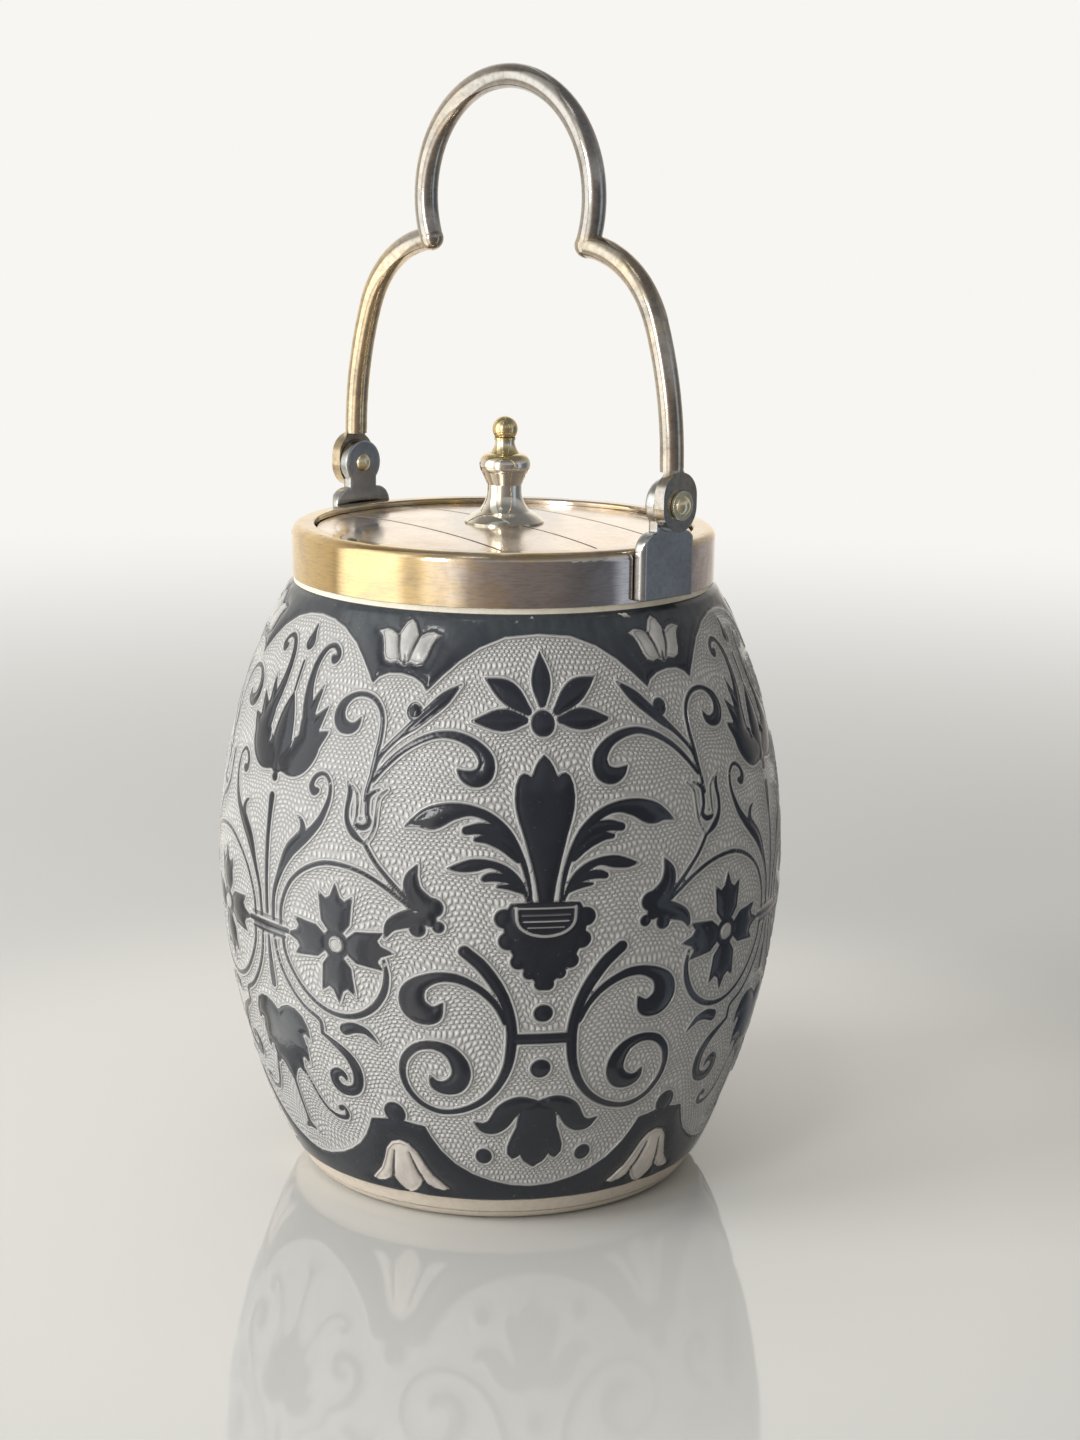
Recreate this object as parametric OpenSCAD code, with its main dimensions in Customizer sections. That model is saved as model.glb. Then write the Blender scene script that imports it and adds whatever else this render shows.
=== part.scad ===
// Lidded stoneware basket: a barrel jar, a plated collar bedded on its neck, a recessed lid with
// a low rise and a turned finial, and a trefoil bail that swings on two riveted lugs.
// Millimetres. Z is up from the table, X runs along the bail's pivot axis.

/* [Jar] */
// Radius at the widest point
belly_r = 66; // [58:0.5:76]
// Height of the widest point
belly_z = 77.5; // [70:0.5:86]
// Outer radius of the ring that stands on the table
foot_r = 42.5; // [38:0.5:46]
// Width of that ring
foot_ring_w = 6.5; // [4:0.5:10]
// Height of the bare clay band at the foot
foot_h = 3; // [2:0.25:4]
// Radius that rounds the heel out from the foot
heel_r = 5; // [4.5:0.25:7]
// Depth of the hollow under the foot
base_recess = 2.5; // [1:0.25:4]
// Height where the shoulder ends under the collar
shoulder_z = 140; // [130:0.5:150]
// Thickness of the stoneware wall
wall_t = 5; // [3.5:0.25:6.5]
// Thickness of the floor above the hollow
floor_t = 4.5; // [3:0.25:8]
// Thickness of the neck
neck_t = 4.5; // [3:0.25:5.5]

/* [Collar] */
// Outer radius of the plated collar
collar_r = 49; // [44:0.5:53]
// Height of the collar
collar_h = 11.8; // [10:0.2:16]
// Thickness of the collar's sheet
collar_t = 1.1; // [0.8:0.1:1.4]
// Width of the collar's flat top
collar_top_w = 5.4; // [4.8:0.2:7]
// Radius of the collar's outer top edge
collar_edge_r = 2.2; // [1.6:0.1:2.8]
// Radius of the collar's inner top edge
collar_lip_r = 0.7; // [0.3:0.1:1]
// Width of the ledge that carries the lid
ledge_w = 2.6; // [1.8:0.1:3.4]
// Thickness of the bedding round the neck
bed_t = 1.2; // [0.8:0.1:2]
// Thickness of the bedding on top of the neck
bed_cap_t = 1; // [0.6:0.1:2]
// Height of the bedding line that shows under the collar
bed_line_h = 1.3; // [0.8:0.1:2]
// How far the bedding line stands in from the collar's face
bed_line_inset = 0.4; // [0.2:0.1:0.8]

/* [Lid] */
// Thickness of the lid plate
lid_t = 1.3; // [1:0.1:2]
// How far the lid's rim lies below the collar's top
lid_recess = 1.3; // [1:0.1:3]
// How far the lid's middle rises above its rim
lid_rise = 1.4; // [0.6:0.1:3]
// Gap round the lid's edge
lid_gap = 0.4; // [0.3:0.05:0.8]
// Height of the locating flange under the lid
flange_h = 7; // [4:0.5:12]
// Thickness of the locating flange
flange_t = 0.9; // [0.6:0.1:1.5]
// Gap between the flange and the ledge
flange_gap = 0.4; // [0.3:0.05:0.8]
// Number of grooves across the lid
groove_count = 5; // [0:1:8]
// Distance between grooves
groove_pitch = 20.5; // [16:0.5:21]
// Width of a groove
groove_w = 0.6; // [0.4:0.1:1]
// Depth of a groove
groove_d = 0.4; // [0.2:0.05:0.6]
// Angle between the grooves and the bail's axis
groove_angle = -12; // [-90:1:90]

/* [Finial] */
// Radius of the finial's base
finial_base_r = 9.2; // [7.5:0.1:11]
// Height of the base's straight edge
finial_edge_h = 0.4; // [0.2:0.1:1]
// Height of the domed base
finial_base_h = 2.7; // [1.8:0.1:4]
// Radius of the flare above the base
finial_flare_r = 6; // [5.8:0.1:7]
// Step from the base in to the flare
finial_step = 0.25; // [0.15:0.05:0.5]
// Height of the flare
finial_flare_h = 4.8; // [3:0.1:5]
// Radius of the column
finial_column_r = 4; // [3.5:0.1:4.6]
// Height of the column above the flare
finial_column_h = 1.3; // [1:0.1:4]
// Height of the taper under the bulb
finial_taper_h = 2; // [1.6:0.1:5]
// Radius of the bulb
finial_bulb_r = 6; // [5.4:0.1:7.5]
// Radius that rounds the bulb
finial_bulb_edge = 2.6; // [1.6:0.1:2.8]
// Radius of the neck
finial_neck_r = 2.25; // [1.8:0.05:2.5]
// Height of the neck above the bulb
finial_neck_h = 3; // [2:0.1:4]
// Height of the ring under the ball
finial_ring_h = 0.6; // [0.4:0.1:1]
// Radius of the ball
finial_ball_r = 2.95; // [2.7:0.05:4]
// Radius of the threaded stud
stud_r = 1.6; // [1.2:0.1:1.8]
// How deep the stud goes into the finial
stud_depth = 9; // [5:0.5:11]
// Radius of the washer under the lid
finial_washer_r = 4.5; // [3.5:0.1:7]
// Thickness of that washer
finial_washer_t = 0.8; // [0.5:0.1:1.2]
// Width of the nut across its flats
nut_af = 6.4; // [5.5:0.1:8]
// Height of the nut
nut_h = 2.6; // [2:0.1:4]
// Length of stud past the nut
stud_tail = 1.2; // [0.5:0.1:3]

/* [Lugs and rivets] */
// Height of the pivot above the collar's top
pivot_rise = 9.4; // [8.5:0.1:14]
// Thickness of a lug at its eye
lug_t = 2.5; // [2:0.1:3]
// How far a lug's face stands out from the collar
lug_proud = 2.1; // [1.5:0.1:2.4]
// Width of the lug's plate on the collar
lug_w = 17; // [14:0.5:20]
// Radius of the plate's shoulders
lug_shoulder_r = 4.2; // [2:0.1:4.4]
// How far the shoulders rise above the collar's top
lug_shoulder_rise = 3.5; // [2:0.1:3.8]
// Width of the neck under the eye
lug_neck_w = 8.2; // [7:0.1:10]
// Radius of the lug's eye
lug_eye_r = 5.4; // [5:0.1:6]
// Gap between the lug's foot and the collar's lower edge
lug_foot_gap = 0.6; // [0.2:0.1:1.5]
// Size of the bevel on the lug's upright edges
lug_bevel = 0.8; // [0.3:0.1:1.2]
// Radius of a rivet's shank
rivet_r = 1.6; // [1.2:0.1:2]
// Radius of a rivet's heads
rivet_head_r = 2.2; // [2.1:0.1:2.8]
// Height of a rivet's heads
rivet_head_h = 1.3; // [0.8:0.1:2]
// Radius of the washer under a rivet's outer head
washer_r = 3.2; // [2.9:0.1:4]
// Thickness of that washer
washer_t = 0.8; // [0.5:0.1:1.2]

/* [Bail] */
// Diameter of the bail's rod
rod_d = 5.5; // [4:0.1:5.8]
// How much thinner each stretch of rod is than the one above it
rod_draw = 0.1; // [0.08:0.01:0.2]
// Half the width of the flat eye at each end
eye_r = 5.4; // [5:0.1:6]
// Straight side of an eye above the pivot
eye_up = 1.8; // [1:0.1:2.6]
// Straight side of an eye below the pivot
eye_down = 0.5; // [0.4:0.1:1.2]
// Height to which the neck over an eye runs up into the rod
eye_neck_h = 2.4; // [1.8:0.1:3]
// Length of straight arm above the half-lap shoulder
arm_straight = 0.9; // [0.6:0.1:6]
// Radius of the long bend of each arm
side_r = 89.5; // [75:0.5:110]
// Angle of the long bend
side_angle = 20; // [16:0.5:22]
// Radius of the shoulder of each lower arch
shoulder_bend_r = 24.3; // [20:0.1:27]
// Angle of the shoulder, up to the waist
shoulder_angle = 65.5; // [60:0.5:72]
// Angle by which each end of the top arch runs on past a half circle
arch_angle = 21.5; // [15:0.5:28]
// How far the soldered joint at the waist stands out round the rod
joint_swell = 0.1; // [0.06:0.02:0.6]

/* [Fits] */
// Side play between the bail, the lugs and the washers
side_gap = 0.1; // [0.05:0.01:0.2]
// Clearance round a rivet in the bail's eye
pivot_gap = 0.06; // [0.03:0.01:0.1]
// Clearance round a fixed shank or stud
fixed_gap = 0.03; // [0.01:0.01:0.1]
// Gap between the lug's eye and the bail's half-lap shoulder
lap_gap = 1.7; // [0.6:0.1:2]

/* [Hidden] */
$fn = 96;
// Segments for the barrel's long arcs
fine = 480;
// Segments round the bail's rod
rod_segments = 48;
// Overshoot of cutting shapes
over = 1;
half_turn = 180;

// Radius of the arc through a tangent point and a second point, d_r in and d_z along
function arc_radius(d_r, d_z) = (d_r * d_r + d_z * d_z) / (2 * d_r);
// Half width of a circle of radius r at distance d from its centre
function half_chord(r, d) = sqrt(r * r - d * d);

// Collar, bedding and lid levels
collar_z0 = shoulder_z + bed_line_h;
collar_z1 = collar_z0 + collar_h;
collar_in_r = collar_r - collar_top_w;
lid_rim = collar_z1 - lid_recess;
lid_top = lid_rim + lid_rise;
ledge_top = lid_rim - lid_t;
seat_z = lid_top - lid_t;
ledge_bot = ledge_top - collar_t;
ledge_r = collar_in_r - ledge_w;
lid_r = collar_in_r - lid_gap;
flange_r = ledge_r - flange_gap;
rise_r = flange_r - 2 * flange_t;

// Jar
neck_r = collar_r - collar_t - bed_t;
neck_in_r = neck_r - neck_t;
neck_top = ledge_bot - bed_cap_t;
shoulder_r = collar_r - bed_line_inset;
heel_top_r = foot_r + half_chord(heel_r, heel_r - foot_h);
lower_arc_r = arc_radius(belly_r - heel_top_r, belly_z - foot_h);
upper_arc_r = arc_radius(belly_r - shoulder_r, shoulder_z - belly_z);

// Finial levels above the lid
finial_flare_z = finial_base_h + finial_flare_h;
finial_taper_z = finial_flare_z + finial_column_h;
finial_bulb_z = finial_taper_z + finial_taper_h + finial_bulb_edge;
finial_neck_z = finial_bulb_z + finial_bulb_edge;
finial_ring_z = finial_neck_z + finial_neck_h;
finial_ball_z = finial_ring_z + finial_ring_h + half_chord(finial_ball_r, finial_neck_r);
// Place on the bulb's round where the taper under it ends
taper_turn = 40;

// Stack along the pivot axis, from the lug outward
pivot_z = collar_z1 + pivot_rise;
lug_x1 = collar_r + lug_proud;
lug_x0 = lug_x1 - lug_t;
arm_x = lug_x1 + side_gap;
eye_x1 = arm_x + rod_d / 2;
washer_x0 = eye_x1 + side_gap;
washer_x1 = washer_x0 + washer_t;
lug_top = collar_z1 + lug_shoulder_rise;
lug_z0 = collar_z0 + lug_foot_gap;

// Centres and ends of the bail's arcs, right side, as [x, z]
lap_z = pivot_z + lug_eye_r + lap_gap;
side_c = [arm_x - side_r, lap_z + arm_straight];
bend_c = side_c + (side_r - shoulder_bend_r) * [cos(side_angle), sin(side_angle)];
waist_angle = side_angle + shoulder_angle;
waist = bend_c + shoulder_bend_r * [cos(waist_angle), sin(waist_angle)];
arch_r = waist[0] / cos(arch_angle);
arch_c = [0, waist[1] + arch_r * sin(arch_angle)];
// Length by which a stretch of rod runs into the thicker one above it
rod_lap = 0.5;
lap_angle = rod_lap / side_r * half_turn / PI;

// Half section between the axis and one of the barrel's arcs
module barrel_half(arc_r, z0, z1, inset) {
    intersection() {
        translate([belly_r - arc_r, belly_z])
            circle(r = arc_r - inset, $fn = fine);
        translate([0, z0])
            square([belly_r, z1 - z0]);
    }
}

// Section of the jar's outside
module jar_outside() {
    barrel_half(lower_arc_r, foot_h, belly_z, 0);
    barrel_half(upper_arc_r, belly_z, shoulder_z, 0);
    intersection() {
        union() {
            translate([foot_r, heel_r])
                circle(r = heel_r);
            square([foot_r, heel_r]);
        }
        square([belly_r, foot_h]);
    }
    translate([0, belly_z])
        square([neck_r, neck_top - belly_z]);
}

// Section of the jar's inside, open at the neck
module jar_inside() {
    barrel_half(lower_arc_r, base_recess + floor_t, belly_z, wall_t);
    barrel_half(upper_arc_r, belly_z, shoulder_z, wall_t);
    translate([0, belly_z])
        square([neck_in_r, neck_top + over - belly_z]);
}

module jar() {
    color("slategray")
        rotate_extrude()
            difference() {
                jar_outside();
                jar_inside();
                translate([0, -over])
                    square([foot_r - foot_ring_w, base_recess + over]);
            }
}

// Section with an outer top corner rounded by r1 and an inner one by r0
module rounded_top(x0, x1, z0, z1, r0, r1) {
    translate([x0, z0])
        square([x1 - x0, z1 - max(r0, r1) - z0]);
    translate([x0 + r0, z0])
        square([x1 - x0 - r0 - r1, z1 - z0]);
    translate([x0, z0])
        square([x1 - x0 - r1, z1 - r0 - z0]);
    translate([x0 + r0, z1 - r0])
        circle(r = r0);
    translate([x1 - r1, z1 - r1])
        circle(r = r1);
}

// Section of the space inside the collar's fold
module collar_fold() {
    x0 = collar_in_r + collar_t;
    x1 = collar_r - collar_t;
    corner = collar_edge_r - collar_t;
    translate([x0, collar_z0 - over])
        square([x1 - x0, collar_z1 - collar_edge_r - collar_z0 + over]);
    translate([x0, collar_z0])
        square([x1 - corner - x0, collar_h - collar_t]);
    translate([x1 - corner, collar_z1 - collar_edge_r])
        circle(r = corner);
}

module collar() {
    color("goldenrod")
        rotate_extrude()
            difference() {
                union() {
                    rounded_top(collar_in_r, collar_r, collar_z0, collar_z1, collar_lip_r, collar_edge_r);
                    translate([ledge_r, ledge_bot])
                        square([ledge_w + collar_t, collar_t]);
                }
                collar_fold();
                translate([collar_in_r - over, collar_z0 - over])
                    square([collar_t + 2 * over, ledge_bot - collar_z0 + over]);
            }
}

module bedding_ring() {
    color("ivory")
        rotate_extrude() {
            intersection() {
                collar_fold();
                translate([neck_r, neck_top])
                    square([collar_top_w, collar_h]);
            }
            intersection() {
                collar_fold();
                translate([collar_in_r, ledge_bot])
                    square([collar_top_w, collar_h]);
            }
            translate([neck_in_r, neck_top])
                square([neck_r - neck_in_r, bed_cap_t]);
            translate([neck_r, shoulder_z])
                square([bed_t, neck_top - shoulder_z]);
            translate([neck_r, shoulder_z])
                square([shoulder_r - neck_r, bed_line_h]);
        }
}

// Lays a flat outline, drawn as [y, z], across the pivot axis from x0 to x1
module across(x0, x1) {
    translate([x0, 0, 0])
        rotate([90, 0, 90])
            linear_extrude(x1 - x0)
                children();
}

// Round bore or boss along the pivot axis
module on_pivot(x0, x1, r) {
    translate([x0, 0, pivot_z])
        rotate([0, 90, 0])
            cylinder(h = x1 - x0, r = r);
}

// Plate, shouldered neck and eye of a lug
module lug_outline() {
    half = lug_w / 2;
    translate([-half, lug_z0])
        square([lug_w, lug_top - lug_shoulder_r - lug_z0]);
    translate([-half + lug_shoulder_r, lug_z0])
        square([lug_w - 2 * lug_shoulder_r, lug_top - lug_z0]);
    for (side = [-1, 1])
        translate([side * (half - lug_shoulder_r), lug_top - lug_shoulder_r])
            circle(r = lug_shoulder_r);
    translate([-lug_neck_w / 2, lug_z0])
        square([lug_neck_w, pivot_z - lug_z0]);
    translate([0, pivot_z])
        circle(r = lug_eye_r);
}

// Right-hand lug, hollowed behind to sit on the collar
module lug() {
    difference() {
        across(lug_x0, lug_x1)
            lug_outline();
        translate([0, 0, collar_z0])
            cylinder(h = collar_h, r = collar_r, $fn = fine);
        on_pivot(lug_x0 - over, lug_x1 + over, rivet_r + fixed_gap);
        for (side = [-1, 1])
            translate([lug_x1, side * lug_w / 2, lug_z0])
                rotate([0, 0, 45])
                    cube([sqrt(2) * lug_bevel, sqrt(2) * lug_bevel, 4 * collar_h], center = true);
    }
}

module lug_right() {
    color("darkslategray")
        lug();
}

module lug_left() {
    color("darkslategray")
        mirror([1, 0, 0])
            lug();
}

// Domed rivet head, flat side at the origin, swelling along Z
module rivet_head() {
    dome_r = arc_radius(rivet_head_h, rivet_head_r);
    rotate_extrude()
        intersection() {
            translate([0, rivet_head_h - dome_r])
                circle(r = dome_r);
            square([rivet_head_r + over, rivet_head_h + over]);
        }
}

module rivet() {
    on_pivot(lug_x0, washer_x1, rivet_r);
    translate([washer_x1, 0, pivot_z])
        rotate([0, 90, 0])
            rivet_head();
    translate([lug_x0, 0, pivot_z])
        rotate([0, -90, 0])
            rivet_head();
}

module rivet_right() {
    color("khaki")
        rivet();
}

module rivet_left() {
    color("khaki")
        mirror([1, 0, 0])
            rivet();
}

module washer() {
    difference() {
        on_pivot(washer_x0, washer_x1, washer_r);
        on_pivot(washer_x0 - over, washer_x1 + over, rivet_r + fixed_gap);
    }
}

module washer_right() {
    color("darkkhaki")
        washer();
}

module washer_left() {
    color("darkkhaki")
        mirror([1, 0, 0])
            washer();
}

// Rod of diameter d bent round centre c, from angle a0 to a1 in the bail's plane
module bent_rod(c, r, a0, a1, d) {
    translate([c[0], 0, c[1]])
        rotate([90, 0, 0])
            rotate([0, 0, a0])
                rotate_extrude(angle = a1 - a0, $fn = fine)
                    translate([r, 0])
                        circle(d = d, $fn = rod_segments);
}

// Flat eye, round at both ends
module eye_outline() {
    translate([-eye_r, -eye_down])
        square([2 * eye_r, eye_up + eye_down]);
    for (z = [-eye_down, eye_up])
        translate([0, z])
            circle(r = eye_r);
}

// Spoon-shaped neck from the rod down into the eye, a little narrower than both
module eye_neck() {
    rim = 0.2;
    intersection() {
        translate([arm_x, 0, pivot_z])
            rotate_extrude()
                flare(0.8 * eye_r, 0.42 * rod_d, eye_up + 0.55 * eye_r, eye_up + eye_r + eye_neck_h);
        translate([arm_x + rim, -eye_r, pivot_z])
            cube([rod_d / 2 - 2 * rim, 2 * eye_r, 3 * eye_r]);
    }
}

// Right-hand arm with its half-lap eye
module arm() {
    eye_neck();
    translate([waist[0], 0, waist[1]])
        sphere(d = rod_d + 2 * joint_swell);
    bent_rod(bend_c, shoulder_bend_r, side_angle, waist_angle, rod_d - rod_draw);
    bent_rod(side_c, side_r, 0, side_angle + lap_angle, rod_d - 2 * rod_draw);
    difference() {
        translate([arm_x, 0, pivot_z + eye_up])
            cylinder(h = side_c[1] + rod_lap - pivot_z - eye_up, d = rod_d - 3 * rod_draw, $fn = rod_segments);
        translate([arm_x - rod_d, -rod_d, pivot_z])
            cube([rod_d, 2 * rod_d, lap_z - pivot_z]);
        on_pivot(arm_x - over, eye_x1 + over, rivet_r + pivot_gap);
    }
    difference() {
        across(arm_x, eye_x1)
            translate([0, pivot_z])
                eye_outline();
        on_pivot(arm_x - over, eye_x1 + over, rivet_r + pivot_gap);
    }
}

module bail_handle() {
    color("dimgray") {
        bent_rod(arch_c, arch_r, -arch_angle, half_turn + arch_angle, rod_d);
        arm();
        mirror([1, 0, 0])
            arm();
    }
}

// Section of all that lies under the lid's top when its rim is at height z: a flat seat for the
// finial, a long curve down from it, and the flat rim
module under_lid(z) {
    run = rise_r - finial_base_r;
    curve_r = arc_radius(lid_rise, run);
    square([lid_r, z]);
    translate([0, z])
        square([finial_base_r, lid_rise]);
    intersection() {
        translate([finial_base_r, z + lid_rise - curve_r])
            circle(r = curve_r, $fn = fine);
        translate([finial_base_r, z])
            square([run, lid_rise]);
    }
}

// Grooves that follow the lid's rise
module lid_grooves() {
    difference() {
        for (i = [0 : 1 : groove_count - 1])
            rotate([0, 0, groove_angle])
                translate([-2 * lid_r, (i - (groove_count - 1) / 2) * groove_pitch - groove_w / 2, ledge_top])
                    cube([4 * lid_r, groove_w, lid_t + lid_rise + over]);
        rotate_extrude()
            under_lid(lid_rim - groove_d);
    }
}

module lid_plate() {
    color("lightgray")
        difference() {
            rotate_extrude()
                under_lid(lid_rim);
            rotate_extrude()
                under_lid(ledge_top);
            translate([0, 0, seat_z - over])
                cylinder(h = lid_t + 2 * over, r = stud_r + fixed_gap);
            lid_grooves();
        }
}

module lid_flange() {
    color("silver")
        translate([0, 0, ledge_top - flange_h])
            difference() {
                cylinder(h = flange_h, r = flange_r, $fn = fine);
                translate([0, 0, -over])
                    cylinder(h = flange_h + 2 * over, r = flange_r - flange_t, $fn = fine);
            }
}

// Section of a hollow flare that narrows from r0 at z0 to r1 at z1
module flare(r0, r1, z0, z1) {
    cove_r = arc_radius(r0 - r1, z1 - z0);
    difference() {
        translate([0, z0])
            square([r1 + cove_r, z1 - z0]);
        translate([r1 + cove_r, z1])
            circle(r = cove_r);
    }
}

// Section of the finial's turned outline, from the lid up
module finial_outline() {
    bulb_in = finial_bulb_r - finial_bulb_edge;
    taper_end = [bulb_in, finial_bulb_z] + finial_bulb_edge * [cos(taper_turn), -sin(taper_turn)];
    dome_top_r = finial_flare_r + finial_step;
    dome_drop = (finial_base_r ^ 2 - dome_top_r ^ 2 + finial_edge_h ^ 2 - finial_base_h ^ 2)
        / (2 * (finial_base_h - finial_edge_h));
    dome_r = norm([finial_base_r, finial_edge_h + dome_drop]);
    intersection() {
        translate([0, -dome_drop])
            circle(r = dome_r);
        square([finial_base_r, finial_base_h]);
    }
    flare(finial_flare_r, finial_column_r, finial_base_h, finial_flare_z);
    translate([0, finial_flare_z])
        square([finial_column_r, finial_column_h]);
    polygon([
        [0, finial_taper_z],
        [finial_column_r, finial_taper_z],
        taper_end,
        [0, taper_end[1]]
    ]);
    translate([bulb_in, finial_bulb_z])
        circle(r = finial_bulb_edge);
    translate([0, finial_bulb_z - finial_bulb_edge])
        square([bulb_in, 2 * finial_bulb_edge]);
    flare(bulb_in, finial_neck_r, finial_neck_z, finial_ring_z);
    translate([0, finial_ring_z])
        square([finial_neck_r + finial_ring_h / 3, finial_ring_h]);
    intersection() {
        translate([0, finial_ball_z])
            circle(r = finial_ball_r);
        translate([0, finial_ring_z])
            square([finial_ball_r, 3 * finial_ball_r]);
    }
}

module finial() {
    color("gainsboro")
        difference() {
            translate([0, 0, lid_top])
                rotate_extrude()
                    finial_outline();
            translate([0, 0, lid_top - over])
                cylinder(h = stud_depth + fixed_gap + over, r = stud_r + fixed_gap);
        }
}

module finial_stud() {
    tail = lid_t + finial_washer_t + nut_h + stud_tail;
    color("darkgoldenrod")
        translate([0, 0, lid_top - tail])
            cylinder(h = tail + stud_depth, r = stud_r);
}

module finial_washer() {
    color("burlywood")
        translate([0, 0, seat_z - finial_washer_t])
            difference() {
                cylinder(h = finial_washer_t, r = finial_washer_r);
                translate([0, 0, -over])
                    cylinder(h = finial_washer_t + 2 * over, r = stud_r + fixed_gap);
            }
}

module finial_nut() {
    color("peru")
        translate([0, 0, seat_z - finial_washer_t - nut_h])
            difference() {
                cylinder(h = nut_h, r = nut_af / sqrt(3), $fn = 6);
                translate([0, 0, -over])
                    cylinder(h = nut_h + 2 * over, r = stud_r + fixed_gap);
            }
}

jar();
bedding_ring();
collar();
lug_left();
lug_right();
rivet_left();
rivet_right();
washer_left();
washer_right();
bail_handle();
lid_plate();
lid_flange();
finial();
finial_stud();
finial_washer();
finial_nut();
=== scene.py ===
"""Looks of the lidded stoneware basket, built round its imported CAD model.

Lengths in the ornament are millimetres, and Blender's own are metres.
"""
import math

import bpy
import numpy as np
from mathutils import Matrix, Vector

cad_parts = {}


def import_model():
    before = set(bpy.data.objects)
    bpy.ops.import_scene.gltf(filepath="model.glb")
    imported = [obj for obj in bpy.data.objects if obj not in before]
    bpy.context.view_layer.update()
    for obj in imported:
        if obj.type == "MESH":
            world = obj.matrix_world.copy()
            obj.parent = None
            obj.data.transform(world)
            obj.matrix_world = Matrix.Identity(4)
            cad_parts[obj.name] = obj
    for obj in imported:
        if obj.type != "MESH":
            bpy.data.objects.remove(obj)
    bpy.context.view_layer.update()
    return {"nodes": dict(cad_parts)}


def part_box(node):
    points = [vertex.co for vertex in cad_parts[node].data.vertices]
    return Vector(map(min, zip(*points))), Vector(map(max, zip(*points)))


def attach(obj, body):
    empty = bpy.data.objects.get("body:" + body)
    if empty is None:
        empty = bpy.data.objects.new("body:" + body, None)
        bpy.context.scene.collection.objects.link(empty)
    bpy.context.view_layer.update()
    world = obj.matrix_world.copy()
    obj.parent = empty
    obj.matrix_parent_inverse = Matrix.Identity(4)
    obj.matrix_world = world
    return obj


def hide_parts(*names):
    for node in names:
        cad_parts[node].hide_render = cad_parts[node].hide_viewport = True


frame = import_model()

MM = 0.001

# Camera, fitted to the 1080 x 1440 photograph
IMAGE_HEIGHT_PX = 1440
FOCAL_PX = 2600
CAMERA_DISTANCE = 0.5979
CAMERA_HEIGHT = 0.2366
CAMERA_AZIMUTH = math.radians(45)
CAMERA_PITCH = -0.2145
CAMERA_YAW = -0.0150
CAMERA_ROLL = -0.0142

# Jar, from the CAD source
BELLY_R = 66
BELLY_Z = 77.5
FOOT_R = 42.5
FOOT_RING_W = 6.5
FOOT_H = 3
HEEL_R = 5
BASE_RECESS = 2.5
SHOULDER_R = 48.6
SHOULDER_Z = 140
WALL_T = 5
FLOOR_T = 4.5
NECK_R = 46.7
NECK_T = 4.5
NECK_TOP = 148.4

# Ornament: six lobed panels of two designs, each a mirror image of its own half
FIRST_PANEL_ANGLE = -36.4
SECTOR = 60
SPANDREL = 31.4
DEGREE_MM = 1.1
RIDGE_W = 0.6
RIDGE_H = 0.36
SWELL_H = 0.6
SWELL_REACH = 1.1
LINE_H = 0.3
FLOWER_H = 0.95
GROOVE_D = 0.4
COLUMNS_PER_SECTOR = 160
ROW_STEP = 0.42
BEAD_ROW = 1.1
BEAD_PITCH = 1.35
BEAD_WAVER = 5
BEAD_BEND = 2.5
BEAD_H = 0.34

# Glaze: height of its lower edge, and heights between which it turns streaked and painted lighter as painted
# light from above, chips begin and cream turns to silver
GLAZE_LINE = 6.4
GLAZE_STREAKED_AND_LIT = (126, 139)
CHIPPED = (138.2, 139.6)
CREAM_TO_SILVER = (30, 50)

# Metal: the middle of the collar's bare side in degrees from the camera's side, and the radius of worn edges
COLLAR_BRASS_SIDE = -62
EDGE_WEAR = 0.25
LUG_EDGE_WEAR = 0.9

# Studio, in metres, with angles from the camera's side that are above zero to its right
BACKGROUND = (0.93, 0.92, 0.89)
FLOOR_HALF = 6
# Distances from the middle between which the floor runs out into the background, and its gloss comes up
FLOOR_FADE = (0.25, 1.1)
FLOOR_MIRROR = (0.24, 0.13)
# Way to the brightest part of the surroundings, to the camera's right, ahead and up, and their weakest and
# strongest light
BRIGHT_WAY = (-0.75, 0.5, 0.45)
SURROUNDINGS = (0.2, 0.9)
# Lamps: distance of all, and each one's name, angle, height, width, length, watts and if reflections show it
LAMP_FAR = 1.1
LAMPS = [
    ("wide window", -70.5, 0.5, 0.55, 1.0, 12, False),
    ("narrow window", -36, 0.42, 0.22, 0.45, 3, True),
    ("high lamp", -25, 2.0, 0.25, 0.25, 3, True),
]
# Distance and height of the screen's rows, their share of the room's light, and the least light they give
SCREEN_SECTION = [
    (0.1, 0.001, 1, 0),
    (1.5, 0.02, 1, 0),
    (1.5, 0.45, 1, 0),
    (1.5, 0.6, 1, 0.4),
    (1.5, 0.8, 1, 0.4),
    (1.4, 1.6, 0.35, 0.2),
    (0.05, 2.2, 0.16, 0.16),
]
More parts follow.
